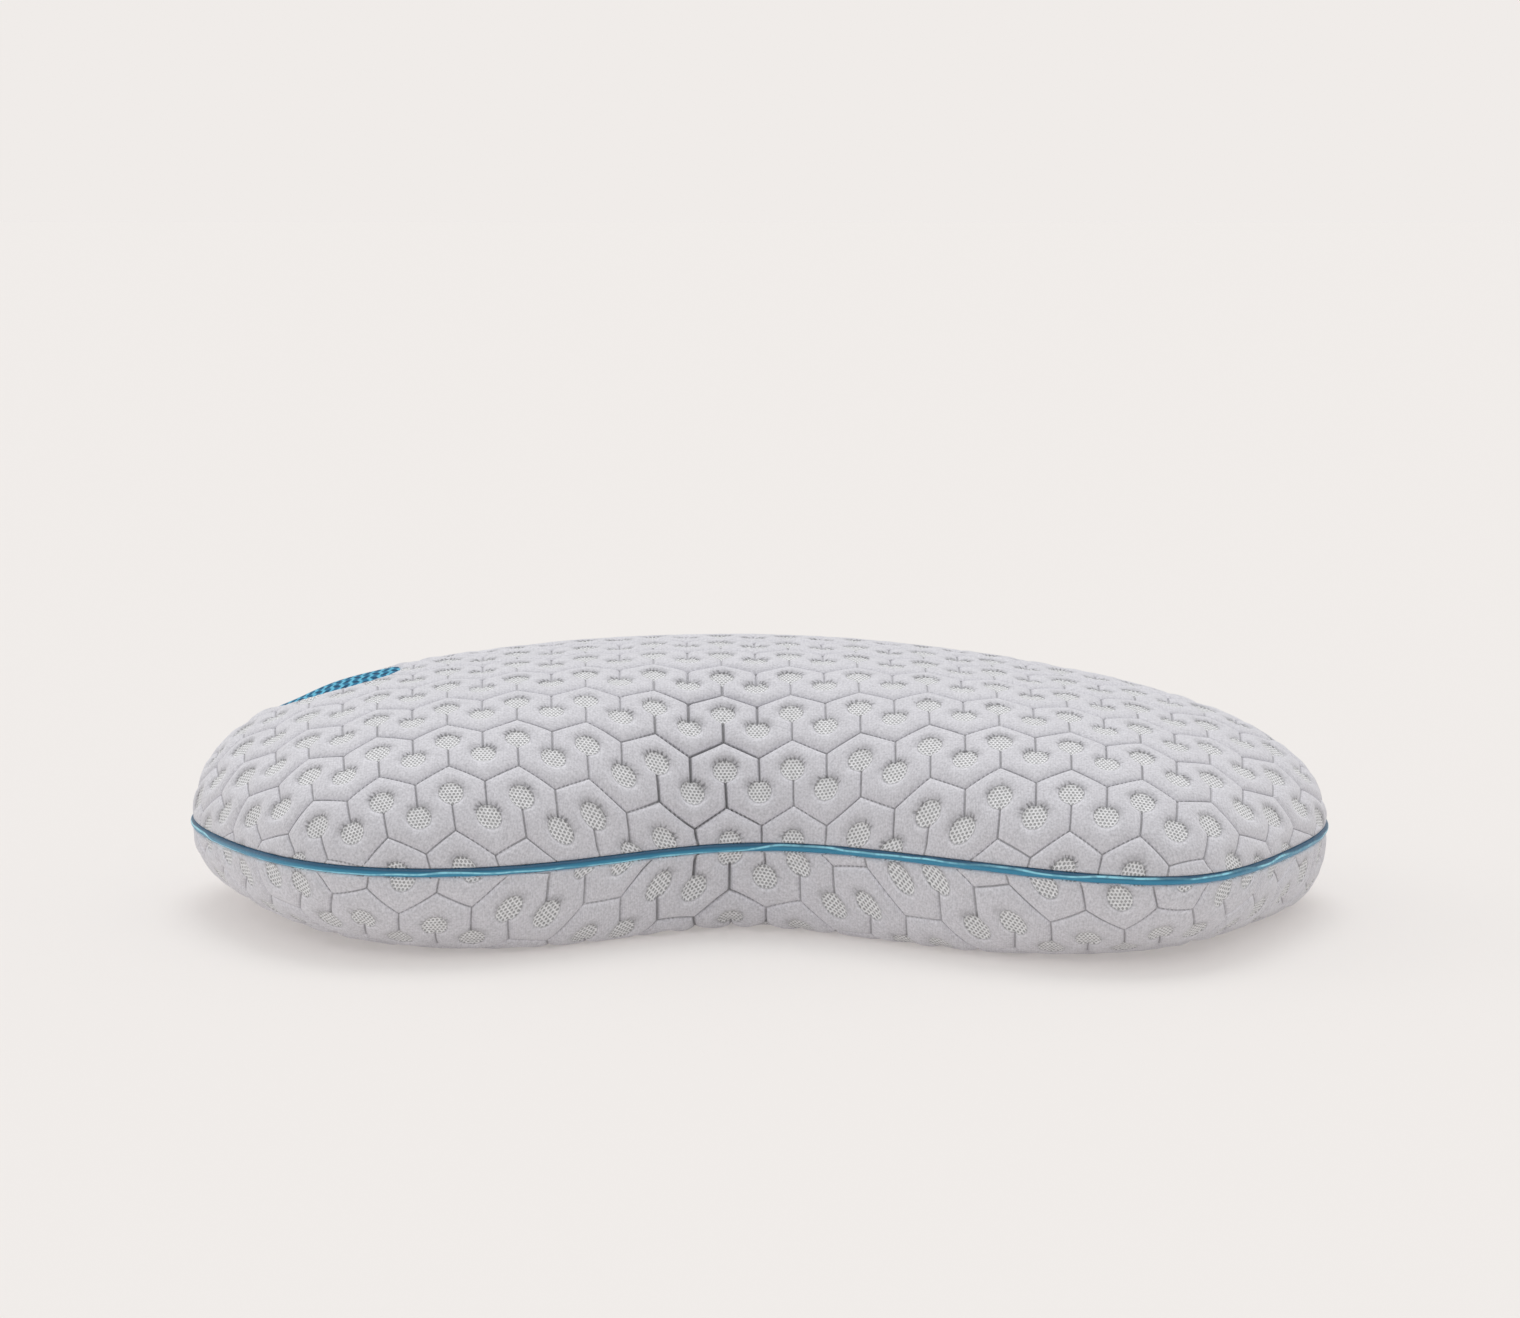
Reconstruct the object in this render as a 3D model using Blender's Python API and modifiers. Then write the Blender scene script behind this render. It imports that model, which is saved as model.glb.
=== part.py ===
"""A curved foam pillow: a bean-shaped cushion with a notch for the shoulder in its front.

Units are metres and +Z is up. The pillow lies flat on z = 0 with its long axis along X and its notch
towards -Y. A quilted top panel and a quilted bottom panel meet in one seam that runs all round, and a
covered cord is sewn into that seam. The quilting is laid out on the flat cloth, as it is before the
cloth is drawn over the foam, and is then wrapped on to the form.
"""

import math
from collections import namedtuple

import bmesh
import bpy
import numpy as np
from mathutils import Matrix, Vector
from mathutils.bvhtree import BVHTree
from mathutils.geometry import barycentric_transform, delaunay_2d_cdt

# Outline: control rows of a closed cubic B-spline, from the notch round by the right end.
# x, y is the seam's plan, spine_x is the point of the crown line that the row rises to,
# seam_z is the seam's height and tuck is how far the underside draws in below the row.
Row = namedtuple("Row", "x y spine_x seam_z tuck")
ROWS = (
    Row(-0.005, -0.084, 0.000, 0.0505, 0.034),
    Row(0.121, -0.195, 0.085, 0.055, 0.025),
    Row(0.240, -0.229, 0.165, 0.0495, 0.107),
    Row(0.298, -0.112, 0.190, 0.047, 0.053),
    Row(0.357, 0.007, 0.185, 0.049, 0.025),
    Row(0.236, 0.202, 0.120, 0.048, 0.045),
    Row(0.0025, 0.216, 0.000, 0.048, 0.061),
    Row(-0.232, 0.197, -0.120, 0.048, 0.079),
    Row(-0.354, 0.008, -0.185, 0.0495, 0.108),
    Row(-0.307, -0.111, -0.190, 0.0515, 0.097),
    Row(-0.227, -0.218, -0.165, 0.052, 0.089),
    Row(-0.107, -0.191, -0.085, 0.049, 0.025),
)
STATIONS_PER_ROW = 12
FORM_STATIONS_PER_ROW = 48
TOP_FORM_STEPS = 60
UNDER_FORM_STEPS = 30

# Crown: its line is a shallow arc in plan, and its height falls from the middle to both ends.
SPINE_Y = 0.045
SPINE_BEND = 0.5
CROWN_Z = 0.1446
CROWN_FALL = 0.414
CROWN_FLARE = 1.84
CROWN_LEAN = 0.0214
OUTLINE_POWER = 2.64
CROWN_POWER = 2.07
UNDER_POWER = 2.3

# Seam: the piping lies in a groove between the lips of the two panels.
PIPING_RADIUS = 0.0022
PIPING_INSET = 0.0009
LIP_RISE = 0.0028
LIP_INSET = 0.0002
GROOVE_RADIUS = 0.0028
GROOVE_ANGLES = (130.0, 180.0, 230.0)

# Quilting, measured on the flat cloth: rows of zigzag creases with a sunk round between each pair.
COLUMN_PITCH = 0.0392
ROW_PITCH = 0.0437
ZIGZAG_RISE = 0.01245
ROUND_DROP = 0.0211
ROUND_RADIUS = 0.006
ROUND_SIDES = 6
CREASE_DEPTH = 0.0022
ROUND_DEPTH = 0.0018
PUFF_HEIGHT = 0.0006
CREASE_FLANK = 0.006
STEM_FLANK = 0.0055
RIM_CLEARANCE = 0.006
REST_CLEARANCE = 0.003
QUILTED_PITCHES = 10
# How a panel lies on the form. start is the place of its first valley. The rows tilt, bow, lean and
# turn up along x, fan out towards +x, and gather by a share at the notch, within gather_width of
# gather_x. The columns tilt, swing with y, spread by a share and flare towards both ends.
Lay = namedtuple(
    "Lay",
    "start tilt bow lean upturn fan gather gather_x gather_width column_tilt swing spread flare",
)
TOP_LAY = Lay(
    (-0.0225, -0.0339), 0.021, 0.70, 0.64, 5.96, 0.256, 0.066, -0.005, 0.037, 0.050, 0.358, 0.0125, 0.362
)
UNDER_LAY = Lay((-0.0125, 0.0123), 0, 0, 0, 0, 0, 0, 0, 1, 0, 0, 0, 0)

# Mesh panel: a rectangle on the flat cloth with broad round corners, on the left end of the crown.
PATCH_CENTRE = (-0.253, 0.013)
PATCH_SIZE = (0.076, 0.092)
PATCH_TURN = math.radians(12.0)
PATCH_CORNER = 0.037
PATCH_CORNER_STEPS = 6
PATCH_THICKNESS = 0.001
PATCH_SINK = 0.0010
PATCH_BED = 0.0025
PATCH_BED_MARGIN = 0.0006
PATCH_RIM_MARGIN = 0.0022
PATCH_CLEARANCE = 0.0052
PATCH_CELL = 0.014
# The panel is stretched tight, so it pulls the crown down a little at its outer half.
PULL_CENTRE = (-0.276, 0.006)
PULL_REACH = (0.016, 0.045)
PULL_DEPTH = 0.0019

TAU = math.tau
MERGE = 1e-7


def clear_scene():
    for item in list(bpy.data.objects):
        bpy.data.objects.remove(item, do_unlink=True)


def closed_spline(control, steps):
    """Points of a closed uniform cubic B-spline, with steps points to each control point."""
    count = len(control)
    u = np.arange(count * steps) / steps
    i = np.floor(u).astype(int)
    f = (u - i)[:, None]
    a, b, c, d = (control[(i + shift) % count] for shift in (-1, 0, 1, 2))
    return (
        a * (1 - f) ** 3
        + b * (3 * f**3 - 6 * f**2 + 4)
        + c * (-3 * f**3 + 3 * f**2 + 3 * f + 1)
        + d * f**3
    ) / 6


def crown_height(x):
    return CROWN_Z - CROWN_FALL * x**2 + CROWN_FLARE * x**4 - CROWN_LEAN * x


def pulled_down(plan):
    """How far the stretched mesh panel pulls the crown down."""
    away = (plan - PULL_CENTRE) / PULL_REACH
    return PULL_DEPTH * np.exp(-(away**2).sum(axis=1))


class Outline:
    """The seam's plan with its outward directions, the crown line and the underside's draw-in."""

    def __init__(self, steps):
        table = closed_spline(np.array(ROWS), steps)
        self.seam = table[:, :2]
        self.seam_z = table[:, 3]
        self.tuck = table[:, 4]
        spine_x = table[:, 2]
        self.spine = np.column_stack([spine_x, SPINE_Y - SPINE_BEND * spine_x**2])
        along = np.roll(self.seam, -1, axis=0) - np.roll(self.seam, 1, axis=0)
        normal = np.column_stack([along[:, 1], -along[:, 0]])
        self.normal = normal / np.linalg.norm(normal, axis=1)[:, None]
        ray = self.seam - self.spine
        self.reach = np.linalg.norm(ray, axis=1)
        self.outward = ray / self.reach[:, None]

    def ring(self, offset, rise):
        """A closed ring beside the seam: offset outwards in plan and rise above it."""
        plan = self.seam + self.normal * offset
        return np.column_stack([plan, self.seam_z + rise])

    def over_top(self, steps):
        """Rings from the top lip to the crown line, in space and on the flat cloth."""
        lip = self.seam - self.normal * LIP_INSET
        lip_z = self.seam_z + LIP_RISE
        rings = []
        for share in 1 - np.linspace(0, 1, steps + 1) ** 2:
            plan = self.spine + (lip - self.spine) * share
            lift = (1 - share**OUTLINE_POWER) ** (1 / CROWN_POWER)
            height = lip_z + (crown_height(plan[:, 0]) - lip_z) * lift - pulled_down(plan)
            rings.append(np.column_stack([plan, height]))
        rings = np.array(rings)
        steps_out = np.linalg.norm(np.diff(rings[::-1], axis=0), axis=2)
        arc = np.concatenate([np.zeros((1, len(lip))), np.cumsum(steps_out, axis=0)])[::-1]
        return rings, self.spine + self.outward * arc[:, :, None]

    def under_side(self, steps):
        """Rings from the bottom lip to the flat underside, in space and on the flat cloth."""
        rings = []
        for angle in np.linspace(0, math.pi / 2, steps + 1):
            draw = self.tuck * (1 - math.cos(angle) ** (2 / UNDER_POWER))
            plan = self.seam - self.outward * draw[:, None] - self.normal * LIP_INSET
            drop = math.sin(angle) ** (2 / UNDER_POWER)
            rings.append(np.column_stack([plan, (self.seam_z - LIP_RISE) * (1 - drop)]))
        rings = np.array(rings)
        rings[-1, :, 2] = 0
        steps_out = np.linalg.norm(np.diff(rings[::-1], axis=0), axis=2)
        arc = np.concatenate([np.zeros((1, len(self.seam))), np.cumsum(steps_out, axis=0)])[::-1]
        return rings, rings[-1, :, :2] + self.outward * arc[:, :, None]


class Wrap:
    """Carries points of the flat cloth on to the bowed form."""

    def __init__(self, bowed, flat, outside_up):
        rings, stations = flat.shape[:2]
        self.flat = [Vector((x, y, 0)) for x, y in flat.reshape(-1, 2)]
        self.bowed = [Vector(point) for point in bowed.reshape(-1, 3)]
        self.faces = []
        for ring in range(rings - 1):
            for station in range(stations):
                after = (station + 1) % stations
                a, b = ring * stations + station, ring * stations + after
                c, d = b + stations, a + stations
                self.faces += [(a, b, c), (a, c, d)]
        self.tree = BVHTree.FromPolygons(self.flat, self.faces)
        self.outside_up = outside_up

    def __call__(self, x, y, height):
        place, _, face, _ = self.tree.find_nearest(Vector((x, y, 0)))
        ids = self.faces[face]
        corners = [self.bowed[i] for i in ids]
        point = barycentric_transform(place, *(self.flat[i] for i in ids), *corners)
        out = (corners[1] - corners[0]).cross(corners[2] - corners[0]).normalized()
        if (out.z < 0) == self.outside_up:
            out.negate()
        return point + out * height


def zigzag(column):
    """Height of the zigzag crease above its valleys, with a peak at each whole column."""
    return ZIGZAG_RISE * (1 - 2 * abs(column - round(column)))


class Quilting:
    """The quilting's points and creases on the flat cloth: x, y, height, and pairs of points."""

    def __init__(self, lay, up):
        self.lay = lay
        self.up = up
        self.points = []
        self.creases = []
        span = range(-QUILTED_PITCHES, QUILTED_PITCHES + 1)
        for row in span:
            for column in span:
                self.cell(row, column)

    def add(self, column, row, along, height):
        """One point: column and row in pitches, along in metres up the row."""
        lay = self.lay
        x = lay.start[0] + column * COLUMN_PITCH
        gathered = lay.gather * math.exp(-(((x - lay.gather_x) / lay.gather_width) ** 2))
        rise = self.up * (row * ROW_PITCH + along) * (1 + lay.fan * x - gathered)
        y = lay.start[1] + rise + lay.tilt * x - lay.bow * x**2 + lay.lean * x**3 + lay.upturn * x**4
        x *= 1 + lay.spread + lay.flare * x**2
        self.points.append((x - (lay.column_tilt - lay.swing * x) * y, y, height))
        return len(self.points) - 1

    def cell(self, row, column):
        """A peak and the valley to its right, their flanks, and the two rounds of the band below."""
        sides = 1 / COLUMN_PITCH
        flank = CREASE_FLANK / math.cos(math.atan(2 * ZIGZAG_RISE * sides))
        beside = STEM_FLANK * sides
        valley = column + 0.5
        before = self.add(column - 0.5, row, 0, -CREASE_DEPTH)
        peak = self.add(column, row, ZIGZAG_RISE, -CREASE_DEPTH)
        after = self.add(valley, row, 0, -CREASE_DEPTH)
        self.creases += [(before, peak), (peak, after)]
        self.add(column, row, ZIGZAG_RISE - flank, 0)
        self.add(valley, row, flank, 0)
        for side in (-beside, beside):
            self.add(column + side, row, zigzag(side) + flank, 0)
            self.add(valley + side, row, zigzag(0.5 + side) - flank, 0)
        peak_below = self.add(column, row - 1, ZIGZAG_RISE, -CREASE_DEPTH)
        self.sunk_round(column, row, ZIGZAG_RISE - ROUND_DROP, peak_below, -1)
        self.sunk_round(valley, row - 1, ROUND_DROP, after, 1)
        middle = (ZIGZAG_RISE - ROW_PITCH) / 2
        for side in (-0.25, 0.25):
            self.add(column + side, row, middle, PUFF_HEIGHT)

    def sunk_round(self, column, row, along, stem_end, stem_side):
        """A sunk round, with a stem that runs from its edge to the zigzag."""
        for turn in range(ROUND_SIDES):
            angle = TAU * turn / ROUND_SIDES + stem_side * TAU / 4
            across = ROUND_RADIUS * math.cos(angle) / COLUMN_PITCH
            rise = ROUND_RADIUS * math.sin(angle)
            corner = self.add(column + across, row, along + rise, -ROUND_DEPTH)
            if turn == 0:
                self.creases.append((corner, stem_end))


def patch_place(local):
    """A point of the mesh panel's own frame, on the flat cloth."""
    return Matrix.Rotation(PATCH_TURN, 2) @ Vector(local) + Vector(PATCH_CENTRE)


def patch_loop(margin):
    """The mesh panel's outline on the flat cloth, grown by margin."""
    half = [size / 2 - PATCH_CORNER for size in PATCH_SIZE]
    arm = PATCH_CORNER + margin
    loop = []
    for quarter, (sx, sy) in enumerate(((1, 1), (-1, 1), (-1, -1), (1, -1))):
        for step in range(PATCH_CORNER_STEPS + 1):
            angle = (quarter + step / PATCH_CORNER_STEPS) * TAU / 4
            local = (half[0] * sx + arm * math.cos(angle), half[1] * sy + arm * math.sin(angle))
            loop.append(patch_place(local))
    return loop


def patch_filling():
    """Points inside the mesh panel on an even grid, on the flat cloth."""
    across, deep = (round(size / PATCH_CELL) for size in PATCH_SIZE)
    width, depth = PATCH_SIZE
    return [
        patch_place(((i / across - 0.5) * width, (j / deep - 0.5) * depth))
        for i in range(1, across)
        for j in range(1, deep)
    ]


def inside_patch(x, y, margin):
    local = Matrix.Rotation(-PATCH_TURN, 2) @ (Vector((x, y)) - Vector(PATCH_CENTRE))
    over = [max(abs(value) - size / 2 + PATCH_CORNER, 0) for value, size in zip(local, PATCH_SIZE)]
    return math.hypot(*over) < PATCH_CORNER + margin


def clear_of_rim(rim, x, y):
    """Whether a point of the flat cloth stands far enough inside the closed rim."""
    start, end = rim, np.roll(rim, -1, axis=0)
    step = end - start
    along = np.clip(((np.array([x, y]) - start) * step).sum(1) / (step**2).sum(1), 0, 1)
    gap = np.linalg.norm(start + step * along[:, None] - [x, y], axis=1).min()
    crossing = (start[:, 1] > y) != (end[:, 1] > y)
    rise = np.where(step[:, 1] == 0, 1, step[:, 1])
    left = x < start[:, 0] + step[:, 0] * (y - start[:, 1]) / rise
    return gap > RIM_CLEARANCE and (crossing & left).sum() % 2 == 1


def fill_flat(bm, verts, places, edges, sides):
    """Faces between verts, from a triangulation of their places on the flat cloth.

    The first places are the closed rim, as many as it has sides, and edges are kept as creases.
    """
    flat = [Vector(place) for place in places]
    rim = [list(range(sides))]
    _, _, triangles, origin, _, owners = delaunay_2d_cdt(flat, edges, rim, 0, MERGE, True)
    for triangle, owner in zip(triangles, owners):
        if owner:
            bm.faces.new([verts[origin[i][0]] for i in triangle])


def quilted_panel(bm, wrap, rim, rings, quilting, keep, filling=()):
    """One quilted panel, laid out flat inside its rim and wrapped on to the form.

    rim and rings are closed loops, each with its vertices and its places on the flat cloth. keep
    says which of the quilting's points are used, and filling is further points with a height each.
    """
    verts, places, edges = [], [], []
    for ring_verts, ring_places in (rim, *rings):
        first, count = len(places), len(ring_places)
        verts += ring_verts
        places += [tuple(place) for place in ring_places]
        edges += [(first + i, first + (i + 1) % count) for i in range(count)]
    for (x, y), height in filling:
        places.append((x, y))
        verts.append(bm.verts.new(wrap(x, y, height)))
    known = {}
    number = {}
    for index, (x, y, height) in enumerate(quilting.points):
        key = (round(x, 6), round(y, 6))
        if key not in known and keep(x, y):
            known[key] = len(places)
            places.append((x, y))
            verts.append(bm.verts.new(wrap(x, y, height)))
        if key in known:
            number[index] = known[key]
    for a, b in quilting.creases:
        if a in number and b in number:
            edges.append((number[a], number[b]))
    fill_flat(bm, verts, places, edges, len(rim[1]))


def bridge(bm, lower, upper):
    """A band of faces between two rings with the same number of vertices."""
    for i, vert in enumerate(lower):
        after = (i + 1) % len(lower)
        bm.faces.new((vert, lower[after], upper[after], upper[i]))


def make_body(collection, wrap_top, wrap_under, outline):
    """The filled cushion: two quilted panels and the groove of the seam between them."""
    bm = bmesh.new()
    top, top_flat = outline.over_top(TOP_FORM_STEPS)
    under, under_flat = outline.under_side(UNDER_FORM_STEPS)
    top_rim = [bm.verts.new(point) for point in top[0]]
    under_rim = [bm.verts.new(point) for point in under[0]]
    rest_rim = [bm.verts.new(point) for point in under[-1]]
    groove = []
    for angle in map(math.radians, GROOVE_ANGLES):
        offset = GROOVE_RADIUS * math.cos(angle) - PIPING_INSET
        ring = outline.ring(offset, GROOVE_RADIUS * math.sin(angle))
        groove.append([bm.verts.new(point) for point in ring])
    rings = [top_rim, *groove, under_rim]
    for upper, lower in zip(rings, rings[1:]):
        bridge(bm, lower, upper)

    def on_top(x, y):
        return clear_of_rim(top_flat[0], x, y) and not inside_patch(x, y, PATCH_CLEARANCE)

    def on_side(x, y):
        return clear_of_rim(under_flat[0], x, y) and wrap_under(x, y, 0).z > REST_CLEARANCE

    beds = []
    for margin, height in ((PATCH_RIM_MARGIN, 0), (PATCH_BED_MARGIN, -PATCH_BED)):
        loop = patch_loop(margin)
        beds.append(([bm.verts.new(wrap_top(x, y, height)) for x, y in loop], loop))
    filling = [(place, -PATCH_BED) for place in patch_filling()]
    quilting = Quilting(TOP_LAY, 1)
    quilted_panel(bm, wrap_top, (top_rim, top_flat[0]), beds, quilting, on_top, filling)
    quilting = Quilting(UNDER_LAY, -1)
    rest = (rest_rim, under_flat[-1])
    quilted_panel(bm, wrap_under, (under_rim, under_flat[0]), [rest], quilting, on_side)
    bmesh.ops.recalc_face_normals(bm, faces=bm.faces)
    return mesh_object(collection, bm, "pillow_body")


def mesh_object(collection, bm, name):
    mesh = bpy.data.meshes.new(name)
    bm.to_mesh(mesh)
    bm.free()
    item = bpy.data.objects.new(name, mesh)
    collection.objects.link(item)
    return item


def make_piping(collection, outline):
    """The covered cord in the seam: one closed loop."""
    curve = bpy.data.curves.new("piping", "CURVE")
    curve.dimensions = "3D"
    curve.twist_mode = "Z_UP"
    curve.bevel_depth = PIPING_RADIUS
    curve.bevel_resolution = 2
    spline = curve.splines.new("POLY")
    spline.use_cyclic_u = True
    route = outline.ring(-PIPING_INSET, 0)
    spline.points.add(len(route) - 1)
    for point, place in zip(spline.points, route):
        point.co = (*place, 1)
    piping = bpy.data.objects.new("piping", curve)
    collection.objects.link(piping)
    return piping


def make_patch(collection, wrap_top):
    """The mesh panel: a sheet on the flat cloth's outline, thickened downwards."""
    bm = bmesh.new()
    loop = patch_loop(0)
    places = loop + patch_filling()
    verts = [bm.verts.new(wrap_top(x, y, -PATCH_SINK)) for x, y in places]
    fill_flat(bm, verts, places, [], len(loop))
    bmesh.ops.recalc_face_normals(bm, faces=bm.faces)
    patch = mesh_object(collection, bm, "mesh_patch")
    thicken = patch.modifiers.new("thickness", "SOLIDIFY")
    thicken.thickness = PATCH_THICKNESS
    thicken.offset = -1
    return patch


def finish(item, colour, roughness):
    material = bpy.data.materials.new(item.name)
    material.use_nodes = True
    shader = material.node_tree.nodes["Principled BSDF"]
    shader.inputs["Base Color"].default_value = (*colour, 1)
    shader.inputs["Roughness"].default_value = roughness
    shader.inputs["Metallic"].default_value = 0
    item.data.materials.append(material)


def main():
    clear_scene()
    collection = bpy.data.collections.new("curved_foam_pillow")
    bpy.context.scene.collection.children.link(collection)
    fine = Outline(FORM_STATIONS_PER_ROW)
    wrap_top = Wrap(*fine.over_top(TOP_FORM_STEPS), True)
    wrap_under = Wrap(*fine.under_side(UNDER_FORM_STEPS), False)
    outline = Outline(STATIONS_PER_ROW)
    body = make_body(collection, wrap_top, wrap_under, outline)
    piping = make_piping(collection, outline)
    patch = make_patch(collection, wrap_top)
    finish(body, (0.56, 0.55, 0.58), 0.9)
    finish(piping, (0.02, 0.24, 0.42), 0.35)
    finish(patch, (0.03, 0.25, 0.42), 0.6)


main()
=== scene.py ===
"""Curved foam pillow: a quilted knit cover over a bean-shaped foam core, with piping in its seam."""

import math
from collections import namedtuple

import bmesh
import bpy
import numpy as np
from mathutils import Matrix, Vector, kdtree, noise
from mathutils.bvhtree import BVHTree


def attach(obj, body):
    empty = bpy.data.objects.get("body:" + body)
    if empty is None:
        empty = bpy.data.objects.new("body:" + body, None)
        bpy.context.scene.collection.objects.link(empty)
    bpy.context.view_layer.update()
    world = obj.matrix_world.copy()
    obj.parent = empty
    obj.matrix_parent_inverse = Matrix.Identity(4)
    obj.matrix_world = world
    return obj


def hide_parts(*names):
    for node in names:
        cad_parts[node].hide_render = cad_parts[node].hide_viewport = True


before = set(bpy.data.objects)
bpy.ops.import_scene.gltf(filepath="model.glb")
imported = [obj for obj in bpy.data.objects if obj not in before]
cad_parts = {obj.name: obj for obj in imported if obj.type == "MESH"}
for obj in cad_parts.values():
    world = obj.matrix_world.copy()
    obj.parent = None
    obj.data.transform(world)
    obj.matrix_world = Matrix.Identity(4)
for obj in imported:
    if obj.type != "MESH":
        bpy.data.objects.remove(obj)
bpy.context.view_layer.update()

# Foam core: one block of soft foam, moulded to a bean shape with a crowned top. It is hidden, and
# the cover and the piping lie on its form. Each row is the seam's x and y, the x of the point of
# the crown line that it rises to, the seam's height, and how far the underside draws in.
CORE_ROWS = np.array(
    (
        (-0.005, -0.084, 0.000, 0.0505, 0.034),
        (0.121, -0.195, 0.085, 0.055, 0.025),
        (0.240, -0.229, 0.165, 0.0495, 0.107),
        (0.298, -0.112, 0.190, 0.047, 0.053),
        (0.357, 0.007, 0.185, 0.049, 0.025),
        (0.236, 0.202, 0.120, 0.048, 0.045),
        (0.0025, 0.216, 0.000, 0.048, 0.061),
        (-0.232, 0.197, -0.120, 0.048, 0.079),
        (-0.354, 0.008, -0.185, 0.0495, 0.108),
        (-0.307, -0.111, -0.190, 0.0515, 0.097),
        (-0.227, -0.218, -0.165, 0.052, 0.089),
        (-0.107, -0.191, -0.085, 0.049, 0.025),
    )
)
STATIONS_PER_ROW = 96
STATIONS = STATIONS_PER_ROW * len(CORE_ROWS)
# The crown line runs from end to end and bends to the front at both ends. The crown on it falls and
# flares towards the ends and leans along x. The powers say how full the top and the underside are.
SPINE_Y = 0.045
SPINE_BEND = 0.5
CROWN_Z = 0.1446
CROWN_FALL = 0.414
CROWN_FLARE = 1.84
CROWN_LEAN = 0.0214
OUTLINE_POWER = 2.64
CROWN_POWER = 2.07
UNDER_POWER = 2.3
LIP_RISE = 0.0028
LIP_INSET = 0.0002


def closed_spline(rows, stations):
    """Points of a closed uniform cubic B-spline, which passes close by its rows."""
    u = np.arange(stations) * len(rows) / stations
    i = np.floor(u).astype(int)
    f = (u - i)[:, None]
    a, b, c, d = (rows[(i + shift) % len(rows)] for shift in (-1, 0, 1, 2))
    return (
        a * (1 - f) ** 3
        + b * (3 * f**3 - 6 * f**2 + 4)
        + c * (-3 * f**3 + 3 * f**2 + 3 * f + 1)
        + d * f**3
    ) / 6


def crown_height(x):
    return CROWN_Z - CROWN_FALL * x**2 + CROWN_FLARE * x**4 - CROWN_LEAN * x


core = closed_spline(CORE_ROWS, STATIONS)
seam, seam_z, tuck = core[:, :2], core[:, 3], core[:, 4]
crown_line = np.column_stack([core[:, 2], SPINE_Y - SPINE_BEND * core[:, 2] ** 2])
along_seam = np.roll(seam, -1, axis=0) - np.roll(seam, 1, axis=0)
seam_out = np.column_stack([along_seam[:, 1], -along_seam[:, 0]])
seam_out /= np.linalg.norm(seam_out, axis=1)[:, None]
ray = seam - crown_line
outward = ray / np.linalg.norm(ray, axis=1)[:, None]


def beside_seam(offset, rise):
    """A closed ring beside the seam, offset outwards in plan and raised above it."""
    return np.column_stack([seam + seam_out * offset, seam_z + rise])


def laid_flat(rings, centre):
    """Where each ring's points lie on the flat cloth, unrolled outwards from the last ring."""
    steps = np.linalg.norm(np.diff(rings[::-1], axis=0), axis=2)
    arc = np.concatenate([np.zeros((1, len(centre))), np.cumsum(steps, axis=0)])[::-1]
    return centre + outward * arc[:, :, None]


class Form:
    """One side of the core, as a map from the flat cloth to the bowed surface."""

    def __init__(self, rings, centre, facing):
        flat = laid_flat(rings, centre)
        self.rim = flat[0]
        count, around = flat.shape[:2]
        self.points = rings.reshape(-1, 3)
        self.flat = flat.reshape(-1, 2)
        ring, station = np.meshgrid(np.arange(count - 1), np.arange(around), indexing="ij")
        a, b = ring * around + station, ring * around + (station + 1) % around
        quads = np.stack([a, b, b + around, a + around], axis=-1).reshape(-1, 4)
        self.faces = np.concatenate([quads[:, [0, 1, 2]], quads[:, [0, 2, 3]]])
        corners = self.points[self.faces]
        face_out = np.cross(corners[:, 1] - corners[:, 0], corners[:, 2] - corners[:, 0])
        self.out = np.zeros_like(self.points)
        for corner in range(3):
            np.add.at(self.out, self.faces[:, corner], face_out)
        self.out /= np.maximum(np.linalg.norm(self.out, axis=1), 1e-12)[:, None]
        if (self.out[:, 2].mean() > 0) != (facing > 0):
            self.out *= -1
        spots = [(x, y, 0) for x, y in self.flat]
        self.tree = BVHTree.FromPolygons(spots, self.faces.tolist())
        self.edge = kdtree.KDTree(len(self.rim))
        for index, (x, y) in enumerate(self.rim):
            self.edge.insert((x, y, 0), index)
        self.edge.balance()

    def from_edge(self, x, y):
        """How far a place on the flat cloth is inside the cloth's edge, or -1 if it is outside."""
        place = Vector((x, y, 0))
        _, _, _, gap = self.tree.find_nearest(place)
        return self.edge.find(place)[2] if gap < 1e-6 else -1.0

    def wrap(self, places):
        """Points and outward directions on the bowed surface, for places on the flat cloth."""
        found = [self.tree.find_nearest((x, y, 0)) for x, y in places]
        face = self.faces[[hit[2] for hit in found]]
        place = np.array([hit[0][:2] for hit in found])
        a, b, c = (self.flat[face[:, corner]] for corner in range(3))
        ab, ac, ap = b - a, c - a, place - a
        area = ab[:, 0] * ac[:, 1] - ab[:, 1] * ac[:, 0]
        area = np.where(np.abs(area) < 1e-16, 1e-16, area)
        v = (ap[:, 0] * ac[:, 1] - ap[:, 1] * ac[:, 0]) / area
        w = (ab[:, 0] * ap[:, 1] - ab[:, 1] * ap[:, 0]) / area
        shares = np.stack([1 - v - w, v, w], axis=1)[:, :, None]
        point = (self.points[face] * shares).sum(axis=1)
        out = (self.out[face] * shares).sum(axis=1)
        return point, out / np.linalg.norm(out, axis=1)[:, None]


# The mesh panel is stretched tight, so it pulls the crown down a little at its outer half.
PULL_CENTRE = (-0.276, 0.006)
PULL_REACH = (0.016, 0.045)
PULL_DEPTH = 0.0019


def pulled_down(plan):
    """How far the stretched mesh panel pulls the crown down."""
    away = (plan - PULL_CENTRE) / PULL_REACH
    return PULL_DEPTH * np.exp(-(away**2).sum(axis=1))


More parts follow.
